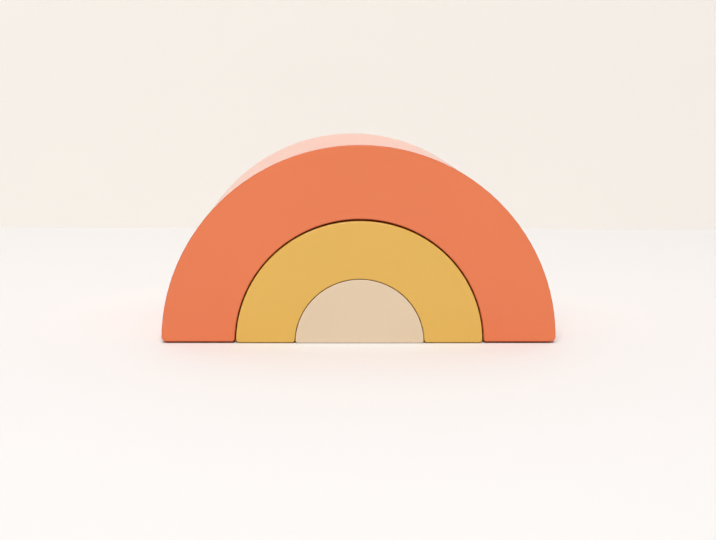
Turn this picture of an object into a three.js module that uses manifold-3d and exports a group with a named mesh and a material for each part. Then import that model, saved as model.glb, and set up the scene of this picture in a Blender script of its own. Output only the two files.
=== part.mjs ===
// Nesting foam rainbow: an outer arch, a middle arch and a half-round that stand inside one another.
// Each block is a polyurethane foam core in a sewn leatherette cover, and each cover opens with a nylon coil zip:
// along the soffit of an arch, and along the base of the half-round.
// Millimetres, +Z up, fronts towards -Y. The origin is on the floor under the middle of the blocks.
import * as THREE from "three";
import { mergeVertices } from "three/addons/utils/BufferGeometryUtils.js";
import Module from "manifold-3d";

const wasm = await Module();
wasm.setup();

// Blocks
const blockDepth = 250; // front to back, over the covers
const halfRoundRadius = 65;
const middleBand = 59.4; // soffit to crown of the middle arch
const outerBand = 74; // soffit to crown of the outer arch
const innerGap = 0.6; // from the half-round to the soffit that it stands in
const outerGap = 1; // from the middle arch to the soffit that it stands in
const edgeRadius = 1.5; // rounded edge round the front and back faces
const outerCornerRadius = 5.5; // rounded corner where the outer crown meets the floor
const nestedCornerRadius = 2.5; // the same, where a face stands against another block

// Covers
const coverThickness = 0.8;
const coverClearance = 0.3; // from the cover to the foam
const seamGap = 0.3; // between two panels at the seam that joins them

// Valley that a zip is sunk in, so that the slider and its garage stay below the face of the block
const valleyMouthHalf = 21;
const valleyFloorHalf = 12.5;
const valleyEndInset = 14; // from the end of the track to the end of the valley

// Zip, laid out across its middle line
const zipInset = 22; // from the end of the track to the zip's end stop
const zipPlay = 0.3; // between neighbouring pieces of the zip
const openingHalf = 6.5; // from the middle line to the hemmed edge of a panel
const tapeHalf = 12;
const tapeThickness = 0.6;
const tapeOverrun = 6; // tape sewn in beyond each end stop
const coilHalf = 3;
const coilSplitHalf = 0.8; // from the middle line to each row of coil
const coilHeight = 2.2;
const stopLength = 3;
const stopHalf = 3.2;

// Slider, of the child-safe kind that has a bail and no pull tab
const sliderLength = 14;
const sliderHalf = 4.9;
const sliderPlate = 1.2;
const sliderFlange = 1.4; // wall down each side of the top plate
const sliderWebHalf = 0.45; // the web between the two rows of coil joins both plates
const sliderWebLength = 6;
const bailLength = 8;
const bailHalf = 1.2;
const bailHeight = 1.5;
const bailBar = 0.8;
const bailFoot = 2;

// Garage, a strip sewn across the valley over the parked slider
const garageThickness = 0.8;
const garageFace = 0.3; // below the face of the block
const garageOverhang = 2; // past the parked slider

// Roundness of the facets
const outerSegments = 48;
const middleSegments = 40;
const halfRoundSegments = 32;
const cornerSegments = 2; // in a quarter turn
const edgeSegments = 2;

// Radii of the nested faces, from the inside out
const middleSoffitRadius = halfRoundRadius + innerGap;
const middleRadius = middleSoffitRadius + middleBand;
const outerSoffitRadius = middleRadius + outerGap;
const outerRadius = outerSoffitRadius + outerBand;
const farAway = 4 * (outerRadius + blockDepth); // larger than the object, for cutting tools
const cornerStep = Math.PI / 2 / cornerSegments;

// Seams run along the middle of each rounded edge and corner, or further in where the cover is thick
const seamInset = (radius) => Math.max(radius * (1 - Math.SQRT1_2), coverThickness + seamGap);
const faceSeamInset = seamInset(edgeRadius);
const footSeamHeight = seamInset(outerCornerRadius);

// Layers of a zip, as depths below the face of the block
const garageBack = garageFace + garageThickness;
const bailFace = garageBack + zipPlay;
const topPlateFace = bailFace + bailHeight;
const topPlateBack = topPlateFace + sliderPlate;
const coilFace = topPlateBack + zipPlay;
const coilBack = coilFace + coilHeight;
const tapeFace = coilBack + zipPlay;
const tapeBack = tapeFace + tapeThickness;
const lowerPlateFace = tapeBack + zipPlay;
const lowerPlateBack = lowerPlateFace + sliderPlate;
const valleyDepth = tapeFace - zipPlay - coverThickness;

// Solids

function solidOf(geometry) {
  geometry.deleteAttribute("normal");
  geometry.deleteAttribute("uv");
  const merged = mergeVertices(geometry);
  return new wasm.Manifold(
    new wasm.Mesh({
      numProp: 3,
      vertProperties: merged.getAttribute("position").array,
      triVerts: new Uint32Array(merged.index.array),
    }),
  );
}

function boxBetween(low, high) {
  const size = high.map((value, axis) => value - low[axis]);
  const middle = high.map((value, axis) => (value + low[axis]) / 2);
  return solidOf(new THREE.BoxGeometry(...size).translate(...middle));
}

// An outline in the XZ plane, extruded along Y about the middle, with rounded edges where rounding is given.
function extrudeAlongY(outline, length, rounding = 0) {
  const geometry = new THREE.ExtrudeGeometry(new THREE.Shape(outline), {
    depth: length,
    bevelEnabled: rounding > 0,
    bevelThickness: rounding,
    bevelSize: rounding,
    bevelSegments: edgeSegments,
  });
  return solidOf(geometry.rotateX(Math.PI / 2).translate(0, length / 2, 0));
}

function cylinderAlongY(radius, segments) {
  return solidOf(new THREE.CylinderGeometry(radius, radius, farAway, segments));
}

// The part of the XZ plane between two angles from +X, as a wedge along Y.
function wedgeBetween(fromAngle, toAngle) {
  const corners = [new THREE.Vector2(0, 0)];
  const steps = Math.ceil((toAngle - fromAngle) / cornerStep);
  for (let i = 0; i <= steps; i++) {
    const angle = fromAngle + ((toAngle - fromAngle) * i) / steps;
    corners.push(new THREE.Vector2(Math.cos(angle), Math.sin(angle)).multiplyScalar(farAway));
  }
  return extrudeAlongY(corners, farAway);
}

// Outlines

// Points round a centre, at both ends of a stretch of angle and at each whole step between them.
function arcPoints(centreX, centreZ, radius, fromAngle, toAngle, step) {
  const direction = Math.sign(toAngle - fromAngle);
  const angles = [fromAngle];
  const tooClose = step / 10;
  const first = direction > 0 ? Math.ceil(fromAngle / step) : Math.floor(fromAngle / step);
  for (let i = first; (toAngle - i * step) * direction > tooClose; i += direction)
    if ((i * step - fromAngle) * direction > tooClose) angles.push(i * step);
  angles.push(toAngle);
  return angles.map(
    (angle) =>
      new THREE.Vector2(centreX + radius * Math.cos(angle), centreZ + radius * Math.sin(angle)),
  );
}

// The crown and its two rounded corners at the floor, from the right foot to the left, drawn in by an inset.
function crownPoints(radius, cornerRadius, inset, step) {
  const corner = cornerRadius - inset;
  const cornerX = Math.sqrt((radius - cornerRadius) ** 2 - cornerRadius ** 2);
  const meets = Math.atan2(cornerRadius, cornerX);
  return [
    ...arcPoints(cornerX, cornerRadius, corner, -Math.PI / 2, meets, cornerStep),
    ...arcPoints(0, 0, radius - inset, meets, Math.PI - meets, step),
    ...arcPoints(-cornerX, cornerRadius, corner, Math.PI - meets, 1.5 * Math.PI, cornerStep),
  ];
}

// The soffit and its two rounded corners, from the left foot back to the right.
function soffitPoints(radius, cornerRadius, inset, step) {
  const corner = cornerRadius - inset;
  const cornerX = Math.sqrt((radius + cornerRadius) ** 2 - cornerRadius ** 2);
  const meets = Math.atan2(cornerRadius, cornerX);
  return [
    ...arcPoints(-cornerX, cornerRadius, corner, 1.5 * Math.PI, 2 * Math.PI - meets, cornerStep),
    ...arcPoints(0, 0, radius + inset, Math.PI - meets, meets, step),
    ...arcPoints(cornerX, cornerRadius, corner, Math.PI + meets, 1.5 * Math.PI, cornerStep),
  ];
}

// Neighbouring stretches share their end points, and an outline holds each point once.
function withoutRepeats(points) {
  const nearby = 1e-6;
  return points.filter((point, i) => point.distanceTo(points.at(i - 1)) > nearby);
}

// Zip tracks: along is measured over the face of the block, and a profile holds points of [across, depth].

// Along the soffit of an arch, from its left foot to its right. Across is Y, and depth is away from the middle.
function soffitTrack(radius, segments) {
  return {
    length: Math.PI * radius,
    stretch(profile, from, to) {
      const section = profile.map(([across, depth]) => new THREE.Vector2(radius + depth, across));
      if (THREE.ShapeUtils.isClockWise(section)) section.reverse(); // so that the ring's faces point out
      const ring = solidOf(new THREE.LatheGeometry([...section, section[0]], segments));
      return ring.intersect(wedgeBetween(Math.PI - to / radius, Math.PI - from / radius));
    },
  };
}

// Along the base of the half-round, from its back to its front. Across is X, and depth is up.
function baseTrack() {
  return {
    length: blockDepth,
    stretch(profile, from, to) {
      const section = profile.map(([across, depth]) => new THREE.Vector2(across, depth));
      return extrudeAlongY(section, to - from).translate([0, blockDepth / 2 - (from + to) / 2, 0]);
    },
  };
}

function bar(acrossFrom, acrossTo, depthFrom, depthTo) {
  return [
    [acrossFrom, depthFrom],
    [acrossTo, depthFrom],
    [acrossTo, depthTo],
    [acrossFrom, depthTo],
  ];
}

// The valley's section, grown into the block by an offset square to its floor and slopes.
const valleySlope = Math.atan2(valleyDepth, valleyMouthHalf - valleyFloorHalf);
function valleyProfile(offset, mouthDepth) {
  const spread = offset * Math.tan(valleySlope / 2);
  const widening = (offset - mouthDepth) / Math.tan(valleySlope);
  const mouth = valleyMouthHalf + spread + widening;
  const floor = valleyFloorHalf + spread;
  return [
    [-mouth, mouthDepth],
    [mouth, mouthDepth],
    [floor, valleyDepth + offset],
    [-floor, valleyDepth + offset],
  ];
}

function valleyCut(track, offset) {
  const mouthDepth = -innerGap / 2; // clear of the face, and short of the neighbouring block
  const from = valleyEndInset - offset;
  return track.stretch(valleyProfile(offset, mouthDepth), from, track.length - from);
}

// Zips

function zipPieces(track, sides) {
  const zipEnd = track.length - zipInset;
  const coilStart = zipInset + stopLength + zipPlay;
  const coilEnd = zipEnd - stopLength - zipPlay;
  const sliderStart = coilStart;
  const sliderEnd = sliderStart + sliderLength;
  const pieces = {};
  for (const [side, sign] of Object.entries(sides)) {
    const tape = bar(sign * coilSplitHalf, sign * tapeHalf, tapeFace, tapeBack);
    const coil = bar(sign * coilSplitHalf, sign * coilHalf, coilFace, coilBack);
    pieces[`zip_tape_${side}`] = track.stretch(tape, zipInset - tapeOverrun, zipEnd + tapeOverrun);
    pieces[`zip_coil_${side}`] = track.stretch(coil, coilStart, coilEnd);
  }
  const stop = bar(-stopHalf, stopHalf, coilFace, coilBack);
  pieces.zip_top_stop = track.stretch(stop, zipInset, zipInset + stopLength);
  pieces.zip_bottom_stop = track.stretch(stop, zipEnd - stopLength, zipEnd);
  pieces.zip_slider = sliderSolid(track, sliderStart, sliderEnd);
  const garageHalf = valleyMouthHalf - garageBack / Math.tan(valleySlope) - zipPlay;
  pieces.zip_garage = track.stretch(
    bar(-garageHalf, garageHalf, garageFace, garageBack),
    valleyEndInset + zipPlay,
    sliderEnd + garageOverhang,
  );
  return pieces;
}

function sliderSolid(track, from, to) {
  const flangeEdge = tapeFace - zipPlay;
  const webStart = from + (sliderLength - sliderWebLength) / 2;
  const bailStart = from + (sliderLength - bailLength) / 2;
  const bailEnd = bailStart + bailLength;
  const topPlate = [
    [-sliderHalf, topPlateFace],
    [sliderHalf, topPlateFace],
    [sliderHalf, flangeEdge],
    [sliderHalf - sliderFlange, flangeEdge],
    [sliderHalf - sliderFlange, topPlateBack],
    [sliderFlange - sliderHalf, topPlateBack],
    [sliderFlange - sliderHalf, flangeEdge],
    [-sliderHalf, flangeEdge],
  ];
  const web = bar(-sliderWebHalf, sliderWebHalf, topPlateFace, lowerPlateBack);
  const bail = bar(-bailHalf, bailHalf, bailFace, topPlateBack);
  const bailHole = bar(-sliderHalf, sliderHalf, bailFace + bailBar, topPlateFace);
  return track
    .stretch(topPlate, from, to)
    .add(track.stretch(bar(-sliderHalf, sliderHalf, lowerPlateFace, lowerPlateBack), from, to))
    .add(track.stretch(web, webStart, webStart + sliderWebLength))
    .add(track.stretch(bail, bailStart, bailEnd))
    .subtract(track.stretch(bailHole, bailStart + bailFoot, bailEnd - bailFoot));
}

// The foam gives way under the zip: to the valley, the tapes and the slider's whole run.
function zipBed(track) {
  const tapeBed = bar(-tapeHalf - zipPlay, tapeHalf + zipPlay, valleyDepth, tapeBack + zipPlay);
  const sliderBed = bar(-sliderHalf - zipPlay, sliderHalf + zipPlay, valleyDepth, lowerPlateBack + zipPlay);
  const bedStart = zipInset - tapeOverrun - zipPlay;
  return valleyCut(track, coverThickness + coverClearance)
    .add(track.stretch(tapeBed, bedStart, track.length - bedStart))
    .add(track.stretch(sliderBed, zipInset, track.length - zipInset));
}

// The strip that holds a zip sinks to a valley and is hemmed back from the chain.
function withZipValley(strip, track) {
  const opening = bar(-openingHalf, openingHalf, 0, valleyDepth + 2 * coverThickness);
  const tray = track.stretch(
    valleyProfile(coverThickness, coverThickness / 2),
    valleyEndInset - coverThickness,
    track.length - valleyEndInset + coverThickness,
  );
  return strip
    .add(tray)
    .subtract(valleyCut(track, 0))
    .subtract(track.stretch(opening, zipInset, track.length - zipInset));
}

// Covers

function coverShell(outline) {
  const length = blockDepth - 2 * edgeRadius;
  const outside = extrudeAlongY(outline, length, edgeRadius);
  return outside.subtract(extrudeAlongY(outline, length, edgeRadius - coverThickness));
}

function foamSolid(outline, track) {
  const rounding = edgeRadius - coverThickness - coverClearance;
  return extrudeAlongY(outline, blockDepth - 2 * edgeRadius, rounding).subtract(zipBed(track));
}

// The part of a solid on one side of a plane square to an axis, kept clear of the seam there.
function sideOf(solid, axis, level, sign) {
  const low = [-farAway, -farAway, -farAway];
  const high = [farAway, farAway, farAway];
  if (sign > 0) low[axis] = level + seamGap / 2;
  else high[axis] = level - seamGap / 2;
  return solid.intersect(boxBetween(low, high));
}

const axisX = 0;
const axisY = 1;
const axisZ = 2;

function facePanels(shell) {
  const seam = blockDepth / 2 - faceSeamInset;
  return {
    front_panel: sideOf(shell, axisY, -seam, -1),
    back_panel: sideOf(shell, axisY, seam, 1),
    strip: sideOf(sideOf(shell, axisY, -seam, 1), axisY, seam, -1),
  };
}

function archPieces(crownRadius, cornerRadius, soffitRadius, segments) {
  const step = (2 * Math.PI) / segments;
  const outline = withoutRepeats([
    ...crownPoints(crownRadius, cornerRadius, edgeRadius, step),
    ...soffitPoints(soffitRadius, nestedCornerRadius, edgeRadius, step),
  ]);
  const track = soffitTrack(soffitRadius, segments);
  const { strip, ...faces } = facePanels(coverShell(outline));
  const sides = sideOf(strip, axisZ, footSeamHeight, 1);
  const feet = sideOf(strip, axisZ, footSeamHeight, -1);
  const between = cylinderAlongY((crownRadius + soffitRadius) / 2, segments);
  const soffit = withZipValley(sides.intersect(between), track);
  return {
    foam_core: foamSolid(outline, track),
    ...faces,
    crown_panel: sides.subtract(between),
    left_foot_panel: sideOf(feet, axisX, 0, -1),
    right_foot_panel: sideOf(feet, axisX, 0, 1),
    soffit_front_panel: sideOf(soffit, axisY, 0, -1),
    soffit_back_panel: sideOf(soffit, axisY, 0, 1),
    ...zipPieces(track, { front: -1, back: 1 }),
  };
}

function halfRoundPieces(radius, segments) {
  const step = (2 * Math.PI) / segments;
  const outline = withoutRepeats(crownPoints(radius, nestedCornerRadius, edgeRadius, step));
  const track = baseTrack();
  const { strip, ...faces } = facePanels(coverShell(outline));
  const base = withZipValley(sideOf(strip, axisZ, footSeamHeight, -1), track);
  return {
    foam_core: foamSolid(outline, track),
    ...faces,
    crown_panel: sideOf(strip, axisZ, footSeamHeight, 1),
    base_left_panel: sideOf(base, axisX, 0, -1),
    base_right_panel: sideOf(base, axisX, 0, 1),
    ...zipPieces(track, { left: -1, right: 1 }),
  };
}

// Finishes

function finish(color, roughness, metalness = 0) {
  return new THREE.MeshStandardMaterial({ color, roughness, metalness });
}

const foam = finish(0xf3ead2, 0.95);
const sliderEnamel = finish(0xd8d2c8, 0.4, 0.6);
const blockColours = { outer: 0xe97f58, middle: 0xe4b65f, half_round: 0xe4caab };

function materialFor(piece, cover, trim) {
  if (piece === "foam_core") return foam;
  if (piece === "zip_slider") return sliderEnamel;
  return piece.startsWith("zip_") ? trim : cover;
}

function blockGroup(name, pieces) {
  const cover = finish(blockColours[name], 0.5);
  const trim = finish(blockColours[name], 0.8);
  const group = new THREE.Group();
  group.name = name;
  for (const [piece, solid] of Object.entries(pieces)) {
    const { vertProperties, triVerts } = solid.getMesh();
    const geometry = new THREE.BufferGeometry();
    geometry.setAttribute("position", new THREE.BufferAttribute(vertProperties, 3));
    geometry.setIndex(new THREE.BufferAttribute(triVerts, 1));
    geometry.computeVertexNormals();
    const mesh = new THREE.Mesh(geometry, materialFor(piece, cover, trim));
    mesh.name = `${name}_${piece}`;
    group.add(mesh);
  }
  return group;
}

const rainbow = new THREE.Group();
const outerPieces = archPieces(outerRadius, outerCornerRadius, outerSoffitRadius, outerSegments);
const middlePieces = archPieces(middleRadius, nestedCornerRadius, middleSoffitRadius, middleSegments);
rainbow.add(blockGroup("outer", outerPieces));
rainbow.add(blockGroup("middle", middlePieces));
rainbow.add(blockGroup("half_round", halfRoundPieces(halfRoundRadius, halfRoundSegments)));

export default rainbow;
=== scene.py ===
from math import atan2, cos, exp, hypot, pi, radians, sin, sqrt

import bmesh
import bpy
from mathutils import Matrix, Vector, noise


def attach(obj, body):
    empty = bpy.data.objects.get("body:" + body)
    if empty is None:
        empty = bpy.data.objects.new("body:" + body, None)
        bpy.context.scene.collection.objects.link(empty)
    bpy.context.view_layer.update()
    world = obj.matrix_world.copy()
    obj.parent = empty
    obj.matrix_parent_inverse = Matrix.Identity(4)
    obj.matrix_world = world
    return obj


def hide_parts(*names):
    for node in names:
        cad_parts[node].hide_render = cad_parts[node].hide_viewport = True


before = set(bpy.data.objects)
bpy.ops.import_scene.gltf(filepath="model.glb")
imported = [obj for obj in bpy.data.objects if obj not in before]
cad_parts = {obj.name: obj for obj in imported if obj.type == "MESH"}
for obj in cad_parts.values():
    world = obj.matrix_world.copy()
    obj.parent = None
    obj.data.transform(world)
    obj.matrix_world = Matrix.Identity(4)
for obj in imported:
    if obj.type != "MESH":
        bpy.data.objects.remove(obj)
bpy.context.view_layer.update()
mm = 0.001

# Camera at the photo's viewing angle: a little left of the middle, looking slightly down and to the right

photoView = {
    "lens": 61.52,
    "sensor": 36,
    "eye": (-0.0457, -1.3364, 0.2667),
    "pitchDown": 8.985,
    "yawRight": 2.055,
    "roll": 0.448,
}


def placeCamera(settings):
    pitch, yaw, roll = (radians(settings[key]) for key in ("pitchDown", "yawRight", "roll"))
    forward = Vector((sin(yaw) * cos(pitch), cos(yaw) * cos(pitch), -sin(pitch)))
    level = Vector((cos(yaw), -sin(yaw), 0))
    upright = level.cross(forward)
    right = cos(roll) * level + sin(roll) * upright
    up = -sin(roll) * level + cos(roll) * upright
    data = bpy.data.cameras.new("photoCamera")
    data.lens = settings["lens"]
    data.sensor_width = settings["sensor"]
    camera = bpy.data.objects.new("photoCamera", data)
    turned = Matrix((right, up, -forward)).transposed().to_4x4()
    camera.matrix_world = Matrix.Translation(settings["eye"]) @ turned
    bpy.context.scene.collection.objects.link(camera)
    bpy.context.scene.camera = camera


placeCamera(photoView)
print("camera placed")

# Materials

mixFactor, mixA, mixB, mixResult = 0, 6, 7, 2  # where a Mix node keeps its colours
multiply = {"data_type": "RGBA", "blend_type": "MULTIPLY", mixFactor: 1}
waveLength = 2 * pi / 20  # of a Wave texture at a scale of 1


def hexColour(code):
    channels = [int(code[i:i + 2], 16) / 255 for i in (0, 2, 4)]
    return [c / 12.92 if c <= 0.04045 else ((c + 0.055) / 1.055) ** 2.4 for c in channels] + [1]


# Settings and links go to a socket by its name or number, and other settings to the node itself
def addNode(tree, kind, settings=None, links=None):
    node = tree.nodes.new(kind)
    for key, value in (settings or {}).items():
        if isinstance(key, int) or key in node.inputs:
            node.inputs[key].default_value = value
        else:
            setattr(node, key, value)
    for key, source in (links or {}).items():
        tree.links.new(source, node.inputs[key])
    return node


def startMaterial(name):
    material = bpy.data.materials.new(name)
    material.use_nodes = True
    tree = material.node_tree
    tree.nodes.clear()
    return material, tree


def endMaterial(tree, shader):
    output = tree.nodes.new("ShaderNodeOutputMaterial")
    tree.links.new(shader.outputs[0], output.inputs["Surface"])


# Polyurethane leatherette: a coated cloth, embossed with a fine pebble grain.
# It gives an even, clean colour, which pales edge-on because the smooth coating reflects there.
leatheretteLook = {
    "coral": "E57849",
    "ochre": "E0B252",
    "beige": "E0CAAD",
    "grainMm": 1.6,  # real grain is about 0.5 mm; drawn coarser so that it shows
    "grainHeightMm": 0.03,
    "grainSoftness": 0.6,
    "grainBump": 0.5,
    "driftMm": 70,  # slow unevenness of the coating
    "driftDetail": 3.0,
    "shade": {"To Min": 0.97, "To Max": 1.03},
    "ior": 1.5,
}
# The coating is duller where blocks slide on each other or on the floor
freshFinish = {"roughness": {"To Min": 0.12, "To Max": 0.16}, "specular": 0.5}
rubbedFinish = {"roughness": {"To Min": 0.38, "To Max": 0.46}, "specular": 0.25}


def makeLeatherette(name, code, look, finish):
    material, tree = startMaterial(name)
    place = addNode(tree, "ShaderNodeTexCoord").outputs["Object"]
    drift = addNode(tree, "ShaderNodeTexNoise",
                    {"Scale": 1 / (look["driftMm"] * mm), "Detail": look["driftDetail"]}, {"Vector": place})
    grain = addNode(tree, "ShaderNodeTexVoronoi",
                    {"feature": "SMOOTH_F1", "Scale": 1 / (look["grainMm"] * mm),
                     "Smoothness": look["grainSoftness"]}, {"Vector": place}).outputs["Distance"]
    shade = addNode(tree, "ShaderNodeMapRange", look["shade"], {"Value": drift.outputs["Fac"]})
    tint = addNode(tree, "ShaderNodeMix", {**multiply, mixA: hexColour(code)},
                   {mixB: shade.outputs["Result"]})
    gloss = addNode(tree, "ShaderNodeMapRange", finish["roughness"], {"Value": grain})
    relief = addNode(tree, "ShaderNodeBump",
                     {"Strength": look["grainBump"], "Distance": look["grainHeightMm"] * mm},
                     {"Height": grain})
    shader = addNode(tree, "ShaderNodeBsdfPrincipled",
                     {"IOR": look["ior"], "Specular IOR Level": finish["specular"]},
                     {"Base Color": tint.outputs[mixResult], "Roughness": gloss.outputs["Result"],
                      "Normal": relief.outputs["Normal"]})
    endMaterial(tree, shader)
    return material


# Open-cell polyurethane foam: cut with a knife, so the face is a mesh of burst cells, dull and cream.
foamLook = {
    "colour": "F1E6C8",
    "cellMm": 1.4,
    "cellHeightMm": 0.5,
    "cellBump": 0.8,
    "shade": {"From Max": 0.6, "To Min": 0.55, "To Max": 1.0},  # painted shade: dark in the hollow in the middle of each cell
    "ior": 1.45,
    "roughness": 0.95,
}


def makeFoam(name, look):
    material, tree = startMaterial(name)
    place = addNode(tree, "ShaderNodeTexCoord").outputs["Object"]
    cells = addNode(tree, "ShaderNodeTexVoronoi", {"Scale": 1 / (look["cellMm"] * mm)},
                    {"Vector": place}).outputs["Distance"]
    # The colour darkens in the hollow of each cell: painted shade
    shade = addNode(tree, "ShaderNodeMapRange", look["shade"], {"Value": cells})
    tint = addNode(tree, "ShaderNodeMix", {**multiply, mixA: hexColour(look["colour"])},
                   {mixB: shade.outputs["Result"]})
    relief = addNode(tree, "ShaderNodeBump",
                     {"Strength": look["cellBump"], "Distance": look["cellHeightMm"] * mm}, {"Height": cells})
    shader = addNode(tree, "ShaderNodeBsdfPrincipled", {"IOR": look["ior"], "Roughness": look["roughness"]},
                     {"Base Color": tint.outputs[mixResult], "Normal": relief.outputs["Normal"]})
    endMaterial(tree, shader)
    return material


# Woven polyester zip tape: ribs along the tape and finer picks across it give a dry, ribbed look.
tapeLook = {
    "coral": "D96D47",
    "ochre": "D3A14A",
    "beige": "D8BE9C",
    "ribMm": 1.1,
    "pickMm": 0.8,
    "heightMm": 0.12,
    "bump": 0.7,
    # painted shade in the grooves of the weave, and a faint painted highlight on its ribs
    "shade": {"To Min": 0.78, "To Max": 1.05},
    "ior": 1.5,
    "roughness": 0.8,
    "sheen": 0.15,
}


def makeTape(name, code, look):
    material, tree = startMaterial(name)
    place = addNode(tree, "ShaderNodeUVMap", {"uv_map": "weaveMm"}).outputs["UV"]
    ribs = addNode(tree, "ShaderNodeTexWave",
                   {"bands_direction": "Y", "Scale": waveLength / look["ribMm"]}, {"Vector": place})
    picks = addNode(tree, "ShaderNodeTexWave",
                    {"bands_direction": "X", "Scale": waveLength / look["pickMm"]}, {"Vector": place})
    weave = addNode(tree, "ShaderNodeMath", {"operation": "MULTIPLY"},
                    {0: ribs.outputs["Fac"], 1: picks.outputs["Fac"]}).outputs["Value"]
    # The colour follows the weave's height: painted shade in its grooves and a faint painted highlight on its
    # ribs
    shade = addNode(tree, "ShaderNodeMapRange", look["shade"], {"Value": weave})
    tint = addNode(tree, "ShaderNodeMix", {**multiply, mixA: hexColour(code)},
                   {mixB: shade.outputs["Result"]})
    relief = addNode(tree, "ShaderNodeBump", {"Strength": look["bump"], "Distance": look["heightMm"] * mm},
                     {"Height": weave})
    shader = addNode(tree, "ShaderNodeBsdfPrincipled",
                     {"IOR": look["ior"], "Roughness": look["roughness"], "Sheen Weight": look["sheen"]},
                     {"Base Color": tint.outputs[mixResult], "Normal": relief.outputs["Normal"]})
    endMaterial(tree, shader)
    return material


# Dyed nylon monofilament of the coil and stops: smooth, slightly uneven in its dye, with a waxy gloss.
nylonLook = {
    "coral": "DE7049",
    "ochre": "D9A64C",
    "beige": "DEC5A4",
    "mottleMm": 2.5,
    "shade": {"To Min": 0.92, "To Max": 1.06},
    "ior": 1.53,
    "roughness": 0.32,
}


def makeNylon(name, code, look):
    material, tree = startMaterial(name)
    place = addNode(tree, "ShaderNodeTexCoord").outputs["Object"]
    mottle = addNode(tree, "ShaderNodeTexNoise", {"Scale": 1 / (look["mottleMm"] * mm)}, {"Vector": place})
    shade = addNode(tree, "ShaderNodeMapRange", look["shade"], {"Value": mottle.outputs["Fac"]})
    tint = addNode(tree, "ShaderNodeMix", {**multiply, mixA: hexColour(code)},
                   {mixB: shade.outputs["Result"]})
    shader = addNode(tree, "ShaderNodeBsdfPrincipled", {"IOR": look["ior"], "Roughness": look["roughness"]},
                     {"Base Color": tint.outputs[mixResult]})
    endMaterial(tree, shader)
    return material


# Zinc die-casting with a baked enamel: a smooth pale coat with a faint orange peel.
enamelLook = {
    "colour": "D9D3C9",
    "peelMm": 1.2,
    "peelHeightMm": 0.02,
    "peelDetail": 1.0,
    "peelBump": 0.4,
    "roughness": {"To Min": 0.25, "To Max": 0.36},
    "metallic": 0.3,
    "coat": 0.3,
}


def makeEnamel(name, look):
    material, tree = startMaterial(name)
    place = addNode(tree, "ShaderNodeTexCoord").outputs["Object"]
    peel = addNode(tree, "ShaderNodeTexNoise",
                   {"Scale": 1 / (look["peelMm"] * mm), "Detail": look["peelDetail"]},
                   {"Vector": place}).outputs["Fac"]
    gloss = addNode(tree, "ShaderNodeMapRange", look["roughness"], {"Value": peel})
    relief = addNode(tree, "ShaderNodeBump",
                     {"Strength": look["peelBump"], "Distance": look["peelHeightMm"] * mm}, {"Height": peel})
    shader = addNode(tree, "ShaderNodeBsdfPrincipled",
                     {"Base Color": hexColour(look["colour"]), "Metallic": look["metallic"],
                      "Coat Weight": look["coat"]},
                     {"Roughness": gloss.outputs["Result"], "Normal": relief.outputs["Normal"]})
    endMaterial(tree, shader)
    return material


fresh, rubbed, tapeCloth, nylon = {}, {}, {}, {}
for colour in ("coral", "ochre", "beige"):
    dye = leatheretteLook[colour]
    fresh[colour] = makeLeatherette(colour + " leatherette", dye, leatheretteLook, freshFinish)
    rubbed[colour] = makeLeatherette(colour + " leatherette rubbed matt", dye, leatheretteLook, rubbedFinish)
    tapeCloth[colour] = makeTape(colour + " zip tape", tapeLook[colour], tapeLook)
    nylon[colour] = makeNylon(colour + " nylon", nylonLook[colour], nylonLook)
foam = makeFoam("cut polyurethane foam", foamLook)
enamel = makeEnamel("enamelled zinc", enamelLook)
print("materials ready")

# Blocks and covers, in metres. The radii are those of the solids, to within a millimetre. Lift is how far the
# front and back edges of a foot bow up, and settle is how far the top of the crown sinks.

blocks = {
    "coral": {
        "node": "outer", "body": "outer_block", "slider": "outer_slider",
        "crown": 0.2, "corner": 0.0055, "soffit": 0.126, "edge": 0.0015,
        "lift": 0.0013, "settle": 0,
        "crownSteps": 224, "soffitSteps": 140,
    },
    "ochre": {
        "node": "middle", "body": "middle_block", "slider": "middle_slider",
        "crown": 0.125, "corner": 0.0032, "soffit": 0.0654, "edge": 0.0013,
        "lift": 0.0004, "settle": 0.0007,
        "crownSteps": 140, "soffitSteps": 80,
    },
    "beige": {
        "node": "half_round", "body": "half_round_block", "slider": "half_round_slider",
        "crown": 0.0651, "corner": 0.0025, "soffit": 0, "edge": 0.0007,
        "lift": 0.0001, "settle": 0,
        "crownSteps": 96, "soffitSteps": 0,
    },
}

cover = {
    "depth": 0.25,
    "nestedCorner": 0.0032,
    "thickness": 0.0008,
    "faceSeam": 0.00045,  # seam behind the face, half-way round the edge
    "footSeam": 0.0016,  # seam above the floor, on the rounded corner
    "seamGap": 0.0004,
    "cornerSteps": 8,
    "edgeSegments": 5,
    "edgeLoss": 0.4,  # a shrunk block's edges lose this share of the shrink
    "fold": 0.00022,  # rounding of a sewn edge
    "foldSegments": 2,
    "foldAngle": 50,
    "faceRows": (0.0004, 0.0004),
    "stripRows": (0.0015, 0.004, 0.008, 0.014, 0.025),
    "bowHeight": 0.012,
    "bowReach": (0.002, 0.016),
    "settlePower": 6,
    "puckerDepth": 0.00022,
    "puckerLeast": 0.25,
    "puckerLength": 0.011,
    "puckerReach": 0.005,
    "puckerEnd": 0.02,
    "puckerSway": 3,
    "puckerSwayScale": 60,
}
halfDepth = cover["depth"] / 2
halfGap = cover["seamGap"] / 2
faceSeamY = halfDepth - cover["faceSeam"]

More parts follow.
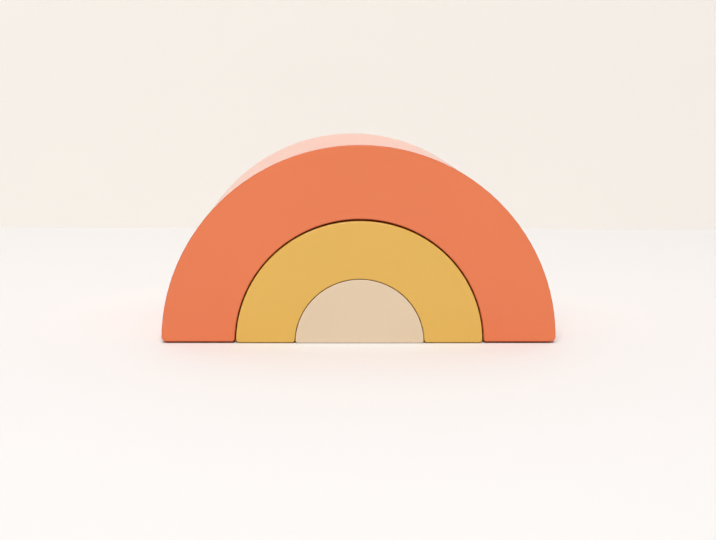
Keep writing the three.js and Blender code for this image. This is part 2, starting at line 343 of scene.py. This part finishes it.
# Places along the zip are from the end of its track, and faces and backs are depths into the block
zipper = {
    "inset": 0.022,
    "opening": 0.0065,
    "play": 0.0003,
    "valleyDepth": 0.0058,
    "valleyMouth": 0.021,
    "valleyFloor": 0.0125,
    "valleyEnds": (0.013, 0.019),
    "rowsAcross": (0.0065, 0.008, 0.010, 0.0125, 0.0142, 0.016, 0.018, 0.0195, 0.021, 0.023),  # from the hem
    "rowsAlong": (0.013, 0.0145, 0.016, 0.0175, 0.019, 0.022),
    "garageFace": 0.0003,
    "garageBack": 0.0011,
    "bailFace": 0.0014,
    "plateFace": 0.0029,
    "plateBack": 0.0041,
    "coilFace": 0.0044,
    "coilBack": 0.0066,
    "tapeFace": 0.0069,
    "tapeBack": 0.0075,
    "lowerFace": 0.0078,
    "lowerBack": 0.0090,
    "tapeHalf": 0.012,
    "coilHalf": 0.003,
    "stop": 0.003,
}
parked = zipper["inset"] + zipper["stop"] + zipper["play"]  # where the slider starts
samePlace = 1e-7


def smoothStep(value, low, high):
    t = min(1.0, max(0.0, (value - low) / (high - low)))
    return t * t * (3 - 2 * t)


def allOf(bm):
    return bm.verts[:] + bm.edges[:] + bm.faces[:]


def vertsOf(geometry):
    return [g for g in geometry if isinstance(g, bmesh.types.BMVert)]


def addLoop(bm, point, normal):
    bmesh.ops.bisect_plane(bm, geom=allOf(bm), plane_co=point, plane_no=normal, dist=samePlace)


def cutAway(bm, point, normal):
    bmesh.ops.bisect_plane(bm, geom=allOf(bm), plane_co=point, plane_no=normal, dist=samePlace,
                           clear_outer=True)


def roundEdges(bm, edges, width, segments):
    bmesh.ops.bevel(bm, geom=edges, offset=width, offset_type="OFFSET", affect="EDGES", segments=segments,
                    profile=0.5, material=-1, clamp_overlap=False)


def sweepArc(bm, vert, centre, angle, steps):
    turned = bmesh.ops.spin(bm, geom=[vert], cent=centre, axis=(0, -1, 0), angle=angle, steps=steps)
    return vertsOf(turned["geom_last"])[0]


# A soft arch settles a little under its own weight, most at the top of its crown and not at all at its soffit
def settleCrown(bm, block):
    for vert in bm.verts:
        radius = hypot(vert.co.x, vert.co.z)
        outward = smoothStep(radius, block["soffit"], block["crown"])
        upward = (vert.co.z / radius) ** cover["settlePower"]
        vert.co.z -= block["settle"] * outward * upward


# The closed skin of a block: its outline is swept out by a travelling point, filled, pulled back and rounded
def blockSkin(block, shrink=0.0):
    bm = bmesh.new()
    front = -halfDepth + shrink
    corner = block["corner"]
    crownX = sqrt((block["crown"] - corner) ** 2 - corner ** 2)
    crownMeets = atan2(corner, crownX)
    cornerSteps = cover["cornerSteps"]
    first = bm.verts.new((crownX, front, shrink))
    last = sweepArc(bm, first, (crownX, front, corner), pi / 2 + crownMeets, cornerSteps)
    last = sweepArc(bm, last, (0, front, 0), pi - 2 * crownMeets, block["crownSteps"])
    last = sweepArc(bm, last, (-crownX, front, corner), pi / 2 + crownMeets, cornerSteps)
    if block["soffit"]:
        corner = cover["nestedCorner"]
        soffitX = sqrt((block["soffit"] + corner) ** 2 - corner ** 2)
        soffitMeets = atan2(corner, soffitX)
        foot = bm.verts.new((-soffitX, front, shrink))
        bm.edges.new((last, foot))
        last = sweepArc(bm, foot, (-soffitX, front, corner), pi / 2 - soffitMeets, cornerSteps)
        last = sweepArc(bm, last, (0, front, 0), 2 * soffitMeets - pi, block["soffitSteps"])
        last = sweepArc(bm, last, (soffitX, front, corner), pi / 2 - soffitMeets, cornerSteps)
    bm.edges.new((last, first))
    bmesh.ops.contextual_create(bm, geom=bm.edges[:])
    pulled = bmesh.ops.extrude_face_region(bm, geom=bm.faces[:])
    bmesh.ops.translate(bm, verts=vertsOf(pulled["geom"]), vec=(0, cover["depth"] - 2 * shrink, 0))
    rims = [e for e in bm.edges if abs(e.verts[0].co.y - e.verts[1].co.y) < samePlace]
    roundEdges(bm, rims, block["edge"] - shrink * cover["edgeLoss"], cover["edgeSegments"])
    bmesh.ops.recalc_face_normals(bm, faces=bm.faces[:])
    settleCrown(bm, block)
    return bm


# A foot bows a little: it stands on its middle, and its front and back edges hang just clear of the floor
def bowFeet(bm, block):
    for vert in bm.verts:
        low = 1 - smoothStep(vert.co.z, 0, cover["bowHeight"])
        rim = 1 - smoothStep(halfDepth - abs(vert.co.y), *cover["bowReach"])
        vert.co.z += block["lift"] * low * rim


# Where a zip runs: along the soffit from the left foot to the right, or along the base from back to front
def trackLength(block):
    return pi * block["soffit"] if block["soffit"] else cover["depth"]


def trackPlace(block, point):
    if block["soffit"]:
        return block["soffit"] * (pi - atan2(point.z, point.x)), point.y
    return halfDepth - point.y, point.x


def acrossTrack(block):
    return Vector((0, 1, 0)) if block["soffit"] else Vector((1, 0, 0))


def intoBlock(block, point):
    return Vector((point.x, 0, point.z)).normalized() if block["soffit"] else Vector((0, 0, 1))


def wrapOnTrack(bm, block):
    for vert in bm.verts:
        along, across, depth = vert.co
        if block["soffit"]:
            angle = pi - along / block["soffit"]
            radius = block["soffit"] + depth
            vert.co = (radius * cos(angle), across, radius * sin(angle))
        else:
            vert.co = (across, halfDepth - along, depth)


def valleyDepthAt(block, along, across):
    ends = min(along, trackLength(block) - along)
    inside = 1 - smoothStep(abs(across), zipper["valleyFloor"], zipper["valleyMouth"])
    return zipper["valleyDepth"] * smoothStep(ends, *zipper["valleyEnds"]) * inside


# Sewing draws a strip in beside its seams with the faces, in small uneven puckers that die out near the seam
def puckerStrip(bm):
    bm.normal_update()
    moves = []
    for vert in bm.verts:
        distance = max(0, faceSeamY - abs(vert.co.y))
        if distance > cover["puckerEnd"]:
            continue
        run = atan2(vert.co.z, vert.co.x) * hypot(vert.co.x, vert.co.z)
        sway = cover["puckerSway"] * noise.noise(vert.co * cover["puckerSwayScale"])
        wave = 0.5 + 0.5 * sin(2 * pi * run / cover["puckerLength"] + sway)
        strength = cover["puckerLeast"] + (1 - cover["puckerLeast"]) * wave
        depth = cover["puckerDepth"] * strength * exp(-distance / cover["puckerReach"])
        moves.append((vert, vert.normal * -depth))
    for vert, move in moves:
        vert.co += move


# A finished piece rides its block, or the slider's body, and stands for a solid unless node is None
def finishPiece(colour, part, bm, material, node, body="body", smooth=True):
    name = colour + "_" + part
    mesh = bpy.data.meshes.new(name)
    bm.to_mesh(mesh)
    bm.free()
    piece = bpy.data.objects.new(name, mesh)
    bpy.context.scene.collection.objects.link(piece)
    mesh.materials.append(material)
    for face in mesh.polygons:
        face.use_smooth = smooth
    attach(piece, blocks[colour][body])
    if node:
        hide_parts(blocks[colour]["node"] + "_" + node)
    return piece


# A cover panel: its skin is given the thickness of the cloth, and its sewn edges are rounded
def finishPanel(colour, part, bm, material):
    panel = finishPiece(colour, part, bm, material, part + "_panel")
    wall = panel.modifiers.new("coverThickness", "SOLIDIFY")
    wall.thickness = cover["thickness"]
    wall.offset = -1
    wall.use_even_offset = True
    fold = panel.modifiers.new("sewnEdge", "BEVEL")
    fold.width = cover["fold"]
    fold.segments = cover["foldSegments"]
    fold.limit_method = "ANGLE"
    fold.angle_limit = radians(cover["foldAngle"])
    fold.harden_normals = True


# Front and back: flat faces with a few rows inside the rounded rim, so that the rim stays crisp
def makeFacePanel(colour, block, side):
    sign = -1 if side == "front" else 1
    bm = blockSkin(block)
    cutAway(bm, (0, sign * (faceSeamY + halfGap), 0), (0, -sign, 0))
    face = max(bm.faces, key=lambda f: len(f.verts))
    for row in cover["faceRows"]:
        bmesh.ops.inset_region(bm, faces=[face], thickness=row, use_even_offset=True, use_boundary=True)
    bowFeet(bm, block)
    finishPanel(colour, side, bm, fresh[colour])


def sideStrip(block):
    bm = blockSkin(block)
    for sign in (-1, 1):
        cutAway(bm, (0, sign * (faceSeamY - halfGap), 0), (0, sign, 0))
    return bm


def addStripRows(bm):
    for inset in cover["stripRows"]:
        for sign in (-1, 1):
            addLoop(bm, (0, sign * (faceSeamY - inset), 0), (0, 1, 0))


# The crown and the soffit lie on either side of the middle of a block's thickness
def dropFaces(bm, block, outer):
    middle = (block["crown"] + block["soffit"]) / 2
    dropped = []
    for face in bm.faces:
        centre = face.calc_center_median()
        if (hypot(centre.x, centre.z) > middle) == outer:
            dropped.append(face)
    bmesh.ops.delete(bm, geom=dropped, context="FACES")


def makeCrown(colour, block):
    bm = sideStrip(block)
    cutAway(bm, (0, 0, cover["footSeam"] + halfGap), (0, 0, -1))
    dropFaces(bm, block, outer=False)
    addStripRows(bm)
    puckerStrip(bm)
    bowFeet(bm, block)
    material = fresh[colour] if colour == "coral" else rubbed[colour]
    finishPanel(colour, "crown", bm, material)


def makeFoot(colour, block, side):
    sign = -1 if side == "left" else 1
    bm = sideStrip(block)
    cutAway(bm, (0, 0, cover["footSeam"] - halfGap), (0, 0, 1))
    cutAway(bm, (0, 0, 0), (-sign, 0, 0))
    addStripRows(bm)
    bowFeet(bm, block)
    finishPanel(colour, side + "_foot", bm, rubbed[colour])


def addZipRows(bm, block):
    across = acrossTrack(block)
    for row in zipper["rowsAcross"]:
        for sign in (-1, 1):
            addLoop(bm, across * sign * row, across)
    length = trackLength(block)
    for end in zipper["rowsAlong"]:
        for along in (end, length - end):
            if block["soffit"]:
                angle = pi - along / block["soffit"]
                addLoop(bm, (0, 0, 0), (sin(angle), 0, -cos(angle)))
            else:
                addLoop(bm, (0, halfDepth - along, 0), (0, 1, 0))


# The two halves of a zipped strip: they sink into the valley and stop at hems on either side of the chain
def makeZippedHalf(colour, block, side, sign):
    bm = sideStrip(block)
    across = acrossTrack(block)
    cutAway(bm, across * sign * halfGap, across * -sign)
    if block["soffit"]:
        cutAway(bm, (0, 0, cover["footSeam"] + halfGap), (0, 0, -1))
        dropFaces(bm, block, outer=True)
    else:
        cutAway(bm, (0, 0, cover["footSeam"] - halfGap), (0, 0, 1))
    addStripRows(bm)
    addZipRows(bm, block)
    opened = []
    for face in bm.faces:
        along, offMiddle = trackPlace(block, face.calc_center_median())
        if abs(offMiddle) < zipper["opening"] and min(along, trackLength(block) - along) > zipper["inset"]:
            opened.append(face)
    bmesh.ops.delete(bm, geom=opened, context="FACES")
    puckerStrip(bm)
    for vert in bm.verts:
        vert.co += intoBlock(block, vert.co) * valleyDepthAt(block, *trackPlace(block, vert.co))
    bowFeet(bm, block)
    strip = "soffit_" if block["soffit"] else "base_"
    finishPanel(colour, strip + side, bm, rubbed[colour])


# The foam fills its cover, with a shallow bed for the zip tape and a deeper one for the slider's lower plate
core = {
    "shrink": 0.0014,
    "tapeBed": 0.0080,
    "tapeBedHalf": 0.0132,
    "sliderBed": 0.0095,
    "sliderBedHalf": 0.0055,
    "bedRim": 0.0001,
    "bedOverrun": 0.0075,
    "soffitReach": 0.01,  # the bed is in the skin this near the soffit and this high above the floor
    "soffitFoot": 0.008,
    "baseReach": 0.003,
}


def bedDepthAt(block, along, across):
    if min(along, trackLength(block) - along) <= zipper["inset"] - core["bedOverrun"]:
        return 0
    if abs(across) < core["sliderBedHalf"] + core["bedRim"]:
        return core["sliderBed"] - core["shrink"]
    return core["tapeBed"] - core["shrink"] if abs(across) < core["tapeBedHalf"] + core["bedRim"] else 0


def facesZip(block, point):
    if block["soffit"]:
        nearSoffit = hypot(point.x, point.z) < block["soffit"] + core["soffitReach"]
        return nearSoffit and point.z > core["soffitFoot"]
    return point.z < core["baseReach"]


def makeCore(colour, block):
    bm = blockSkin(block, core["shrink"])
    addZipRows(bm, block)
    across = acrossTrack(block)
    for row in (core["sliderBedHalf"], core["tapeBedHalf"]):
        for sign in (-1, 1):
            addLoop(bm, across * sign * row, across)
    for vert in bm.verts:
        if facesZip(block, vert.co):
            place = trackPlace(block, vert.co)
            depth = max(valleyDepthAt(block, *place), bedDepthAt(block, *place))
            vert.co += intoBlock(block, vert.co) * depth
    bowFeet(bm, block)
    piece = finishPiece(colour, "foam", bm, foam, "foam_core")


# Zips are laid out flat, with x along the zip, y across it and z into the block, then wrapped on their track

sharpAngle = 1.0  # in radians


def straightBar(bm, along, across, depth, step=0.0):
    size = [high - low for low, high in (along, across, depth)]
    middle = [(high + low) / 2 for low, high in (along, across, depth)]
    bmesh.ops.create_cube(bm, size=1, matrix=Matrix.Translation(middle) @ Matrix.Diagonal((*size, 1)))
    if step:
        count = int(size[0] / step)
        for i in range(1, count):
            addLoop(bm, (along[0] + size[0] * i / count, 0, 0), (1, 0, 0))


def sharpEdges(bm):
    return [e for e in bm.edges if len(e.link_faces) == 2 and e.calc_face_angle(0) > sharpAngle]


def layWeave(bm):
    uv = bm.loops.layers.uv.new("weaveMm")
    for face in bm.faces:
        for loop in face.loops:
            loop[uv].uv = (loop.vert.co.x / mm, loop.vert.co.y / mm)


tape = {"overrun": 0.006, "inner": 0.0009, "step": 0.004}


def makeTapeHalf(colour, block, side, sign):
    bm = bmesh.new()
    start = zipper["inset"] - tape["overrun"]
    ends = (start, trackLength(block) - start)
    across = sorted((sign * tape["inner"], sign * zipper["tapeHalf"]))
    straightBar(bm, ends, across, (zipper["tapeFace"], zipper["tapeBack"]), tape["step"])
    layWeave(bm)
    wrapOnTrack(bm, block)
    part = "zip_tape_" + side
    piece = finishPiece(colour, part, bm, tapeCloth[colour], part, smooth=False)


coil = {
    "pitch": 0.0017,
    "wire": 0.00034,
    "sides": 5,
    "stepsPerTurn": 10,
    "turnsAtATime": 4,
    "overlap": 0.0005,  # how far each row reaches past the middle line, into the other
    "weld": 2e-6,
}


# A few turns are wound, copied along the row and welded, and the round coil is then pressed to its oval
def makeCoilHalf(colour, block, side, sign):
    bm = bmesh.new()
    start = parked + zipper["play"]
    run = trackLength(block) - 2 * start
    width = (zipper["coilHalf"] + coil["overlap"]) / 2 - coil["wire"]
    height = (zipper["coilBack"] - zipper["coilFace"]) / 2 - coil["wire"]
    turns, pitch, perTurn = coil["turnsAtATime"], coil["pitch"], coil["stepsPerTurn"]
    lengths = int((run / pitch - 1) / turns)
    bmesh.ops.create_circle(bm, segments=coil["sides"], radius=coil["wire"],
                            matrix=Matrix.Translation((start, 0, width)))
    bmesh.ops.rotate(bm, verts=bm.verts[:], cent=(start, 0, width), matrix=Matrix.Rotation(pi / 2, 3, "X"))
    bmesh.ops.spin(bm, geom=bm.verts[:] + bm.edges[:], cent=(start, 0, 0), axis=(1, 0, 0),
                   dvec=(pitch / perTurn, 0, 0), angle=2 * pi * turns, steps=turns * perTurn)
    first = allOf(bm)
    for i in range(1, lengths):
        copied = bmesh.ops.duplicate(bm, geom=first)
        bmesh.ops.translate(bm, verts=vertsOf(copied["geom"]), vec=(i * turns * pitch, 0, 0))
    bmesh.ops.remove_doubles(bm, verts=bm.verts[:], dist=coil["weld"])
    bmesh.ops.holes_fill(bm, edges=[e for e in bm.edges if e.is_boundary], sides=0)
    middle = sign * (zipper["coilHalf"] - coil["overlap"]) / 2
    depth = (zipper["coilFace"] + zipper["coilBack"]) / 2
    shift = (run - lengths * turns * pitch) / 2 + sign * pitch / 4  # the two rows mesh half a turn apart
    for vert in bm.verts:
        vert.co = (vert.co.x + shift, middle + sign * vert.co.y, depth + vert.co.z * height / width)
    wrapOnTrack(bm, block)
    bmesh.ops.recalc_face_normals(bm, faces=bm.faces[:])
    part = "zip_coil_" + side
    finishPiece(colour, part, bm, nylon[colour], part)


slider = {
    "length": 0.014,
    "half": 0.0049,
    "step": 0.002,
    "plateRound": 0.0004,
    "plateSegments": 3,
    "flange": 0.0012,
    "flangeLap": 0.0002,
    "flangeClear": 0.0004,
    "shoulder": 0.003,
    "tail": 0.8,
    "bailRadius": 0.0034,
    "bailWire": 0.0006,
    "bailBroad": 2,
    "bailSink": 0.0001,
    "bailSides": 10,
    "bailSteps": 16,
}


def makeBail(middle):
    bm = bmesh.new()
    bmesh.ops.create_circle(bm, cap_ends=True, segments=slider["bailSides"], radius=slider["bailWire"],
                            matrix=Matrix.Translation((middle + slider["bailRadius"], 0, 0)))
    bmesh.ops.spin(bm, geom=allOf(bm), cent=(middle, 0, 0), axis=(0, 1, 0), angle=pi,
                   steps=slider["bailSteps"])
    rise = (zipper["plateFace"] - zipper["bailFace"]) / (slider["bailRadius"] + slider["bailWire"])
    foot = zipper["plateFace"] + slider["bailSink"]
    for vert in bm.verts:
        vert.co = (vert.co.x, vert.co.y * slider["bailBroad"], foot + vert.co.z * rise)
    bmesh.ops.recalc_face_normals(bm, faces=bm.faces[:])
    mesh = bpy.data.meshes.new("bail")
    bm.to_mesh(mesh)
    bm.free()
    return mesh


# Two plates with flanges between them, narrower at the tail, and a bail on top in place of a pull tab
def makeSlider(colour, block):
    bm = bmesh.new()
    ends = (parked, parked + slider["length"])
    half = slider["half"]
    for layer in ("plate", "lower"):
        depth = (zipper[layer + "Face"], zipper[layer + "Back"])
        straightBar(bm, ends, (-half, half), depth, slider["step"])
    depth = (zipper["plateBack"] - slider["flangeLap"], zipper["tapeFace"] - slider["flangeClear"])
    for sign in (-1, 1):
        straightBar(bm, ends, sorted((sign * half, sign * (half - slider["flange"]))), depth, slider["step"])
    roundEdges(bm, sharpEdges(bm), slider["plateRound"], slider["plateSegments"])
    for vert in bm.verts:
        vert.co.y *= 1 - (1 - slider["tail"]) * smoothStep(vert.co.x, parked + slider["shoulder"], ends[1])
    bail = makeBail(sum(ends) / 2)
    bm.from_mesh(bail)
    bpy.data.meshes.remove(bail)
    wrapOnTrack(bm, block)
    finishPiece(colour, "zip_slider", bm, enamel, "zip_slider", body="slider")


stop = {"half": 0.0032, "round": 0.0005, "segments": 3}


def makeStop(colour, block, end):
    bm = bmesh.new()
    start = zipper["inset"] if end == "top" else trackLength(block) - zipper["inset"] - zipper["stop"]
    straightBar(bm, (start, start + zipper["stop"]), (-stop["half"], stop["half"]),
                (zipper["coilFace"], zipper["coilBack"]))
    roundEdges(bm, bm.edges[:], stop["round"], stop["segments"])
    wrapOnTrack(bm, block)
    part = "zip_" + end + "_stop"
    finishPiece(colour, part, bm, nylon[colour], part)


# A strip of the cover's cloth over the parked slider
garage = {"start": 0.0143, "half": 0.0190, "overhang": 0.002, "step": 0.003, "round": 0.0003, "segments": 2}
garageEnds = (garage["start"], parked + slider["length"] + garage["overhang"])


def makeGarage(colour, block):
    bm = bmesh.new()
    straightBar(bm, garageEnds, (-garage["half"], garage["half"]),
                (zipper["garageFace"], zipper["garageBack"]), garage["step"])
    roundEdges(bm, sharpEdges(bm), garage["round"], garage["segments"])
    wrapOnTrack(bm, block)
    piece = finishPiece(colour, "zip_garage", bm, fresh[colour], "zip_garage")


stitch = {
    "pitch": 0.0042,
    "length": 0.0031,
    "width": 0.0006,
    "height": 0.0005,
    "round": 0.00016,
    "hem": 0.009,
    "hemOverrun": 0.002,
    "garageInset": 0.0025,
}


def stitchRow(bm, ends, across, depth):
    halfWidth, halfHeight = stitch["width"] / 2, stitch["height"] / 2
    for i in range(int((ends[1] - ends[0]) / stitch["pitch"])):
        start = ends[0] + stitch["pitch"] * i
        straightBar(bm, (start, start + stitch["length"]), (across - halfWidth, across + halfWidth),
                    (depth - halfHeight, depth + halfHeight))


def makeStitching(colour, block):
    bm = bmesh.new()
    start = zipper["inset"] - stitch["hemOverrun"]
    for sign in (-1, 1):
        stitchRow(bm, (start, trackLength(block) - start), sign * stitch["hem"], zipper["valleyDepth"])
        stitchRow(bm, garageEnds, sign * (garage["half"] - stitch["garageInset"]), zipper["garageFace"])
    roundEdges(bm, bm.edges[:], stitch["round"], 1)
    layWeave(bm)
    wrapOnTrack(bm, block)
    finishPiece(colour, "zip_stitching", bm, tapeCloth[colour], None)


for colour, block in blocks.items():
    makeCore(colour, block)
    for side in ("front", "back"):
        makeFacePanel(colour, block, side)
    makeCrown(colour, block)
    if block["soffit"]:
        for side in ("left", "right"):
            makeFoot(colour, block, side)
    sides = ("front", "back") if block["soffit"] else ("left", "right")
    for side, sign in zip(sides, (-1, 1)):
        makeZippedHalf(colour, block, side, sign)
        makeTapeHalf(colour, block, side, sign)
        makeCoilHalf(colour, block, side, sign)
    makeSlider(colour, block)
    for end in ("top", "bottom"):
        makeStop(colour, block, end)
    makeGarage(colour, block)
    makeStitching(colour, block)
    print(colour, "block dressed")

# Stage: a pale floor, a cream wall behind it, and soft light from above and in front

stage = {
    "wallY": 0.82,
    "wallSize": (5, 4),
    "floorRadius": 2.7,
    "floorSides": 128,
    "floorZ": -0.0002,
    "floor": "E4E2E1",
    "wall": "F4F0EA",
    "mottle": {"Scale": 3.0},
    "shade": {"To Min": 0.99, "To Max": 1.0},
    "roughness": 0.9,
    "specular": 0.1,
    "sky": "FFFDFA",
    "skyStrength": {"To Min": 0.23, "To Max": 1.0},  # as a light, and as seen by eye and in reflections
}


def makePaint(name, code, oneSided=False):
    material, tree = startMaterial(name)
    place = addNode(tree, "ShaderNodeTexCoord").outputs["Object"]
    mottle = addNode(tree, "ShaderNodeTexNoise", stage["mottle"], {"Vector": place})
    shade = addNode(tree, "ShaderNodeMapRange", stage["shade"], {"Value": mottle.outputs["Fac"]})
    tint = addNode(tree, "ShaderNodeMix", {**multiply, mixA: hexColour(code)},
                   {mixB: shade.outputs["Result"]})
    shader = addNode(tree, "ShaderNodeBsdfPrincipled",
                     {"Roughness": stage["roughness"], "Specular IOR Level": stage["specular"]},
                     {"Base Color": tint.outputs[mixResult]})
    if oneSided:  # a wall without a back, so that the object also shows from behind
        surface = addNode(tree, "ShaderNodeNewGeometry")
        clear = addNode(tree, "ShaderNodeBsdfTransparent")
        shader = addNode(tree, "ShaderNodeMixShader", {},
                         {0: surface.outputs["Backfacing"], 1: shader.outputs[0], 2: clear.outputs[0]})
    endMaterial(tree, shader)
    return material


def finishStage(name, bm, material):
    mesh = bpy.data.meshes.new(name)
    bm.to_mesh(mesh)
    bm.free()
    mesh.materials.append(material)
    surface = bpy.data.objects.new(name, mesh)
    bpy.context.scene.collection.objects.link(surface)


bm = bmesh.new()
bmesh.ops.create_circle(bm, cap_ends=True, segments=stage["floorSides"], radius=stage["floorRadius"],
                        matrix=Matrix.Translation((0, 0, stage["floorZ"])))
cutAway(bm, (0, stage["wallY"], 0), (0, 1, 0))
finishStage("floor", bm, makePaint("painted floor", stage["floor"]))

wallWidth, wallHeight = stage["wallSize"]
standing = Matrix.Translation((0, stage["wallY"], wallHeight / 2)) @ Matrix.Rotation(pi / 2, 4, "X")
bm = bmesh.new()
bmesh.ops.create_grid(bm, x_segments=1, y_segments=1, size=0.5,
                      matrix=standing @ Matrix.Diagonal((wallWidth, wallHeight, 1, 1)))
finishStage("wall", bm, makePaint("painted wall", stage["wall"], oneSided=True))

keyLamp = {"place": (-0.45, -3.4, 5.7), "aim": (0, 0, 0.05), "size": 4.0, "watts": 426}


def addLamp(name, settings):
    data = bpy.data.lights.new(name, "AREA")
    data.shape = "SQUARE"
    data.size = settings["size"]
    data.energy = settings["watts"]
    lamp = bpy.data.objects.new(name, data)
    lamp.location = settings["place"]
    aim = Vector(settings["aim"]) - Vector(settings["place"])
    lamp.rotation_euler = aim.to_track_quat("-Z", "Y").to_euler()
    bpy.context.scene.collection.objects.link(lamp)


addLamp("key", keyLamp)

world = bpy.data.worlds.new("studio")
bpy.context.scene.world = world
world.use_nodes = True
tree = world.node_tree
sky = tree.nodes["Background"]
sky.inputs["Color"].default_value = hexColour(stage["sky"])
ray = addNode(tree, "ShaderNodeLightPath")
seen = ray.outputs["Is Camera Ray"]
for kind in ("Is Glossy Ray", "Is Transmission Ray"):
    either = addNode(tree, "ShaderNodeMath", {"operation": "MAXIMUM"}, {0: seen, 1: ray.outputs[kind]})
    seen = either.outputs["Value"]
strength = addNode(tree, "ShaderNodeMapRange", stage["skyStrength"], {"Value": seen})
tree.links.new(strength.outputs["Result"], sky.inputs["Strength"])
bpy.context.scene.view_settings.view_transform = "Standard"
print("stage lit")
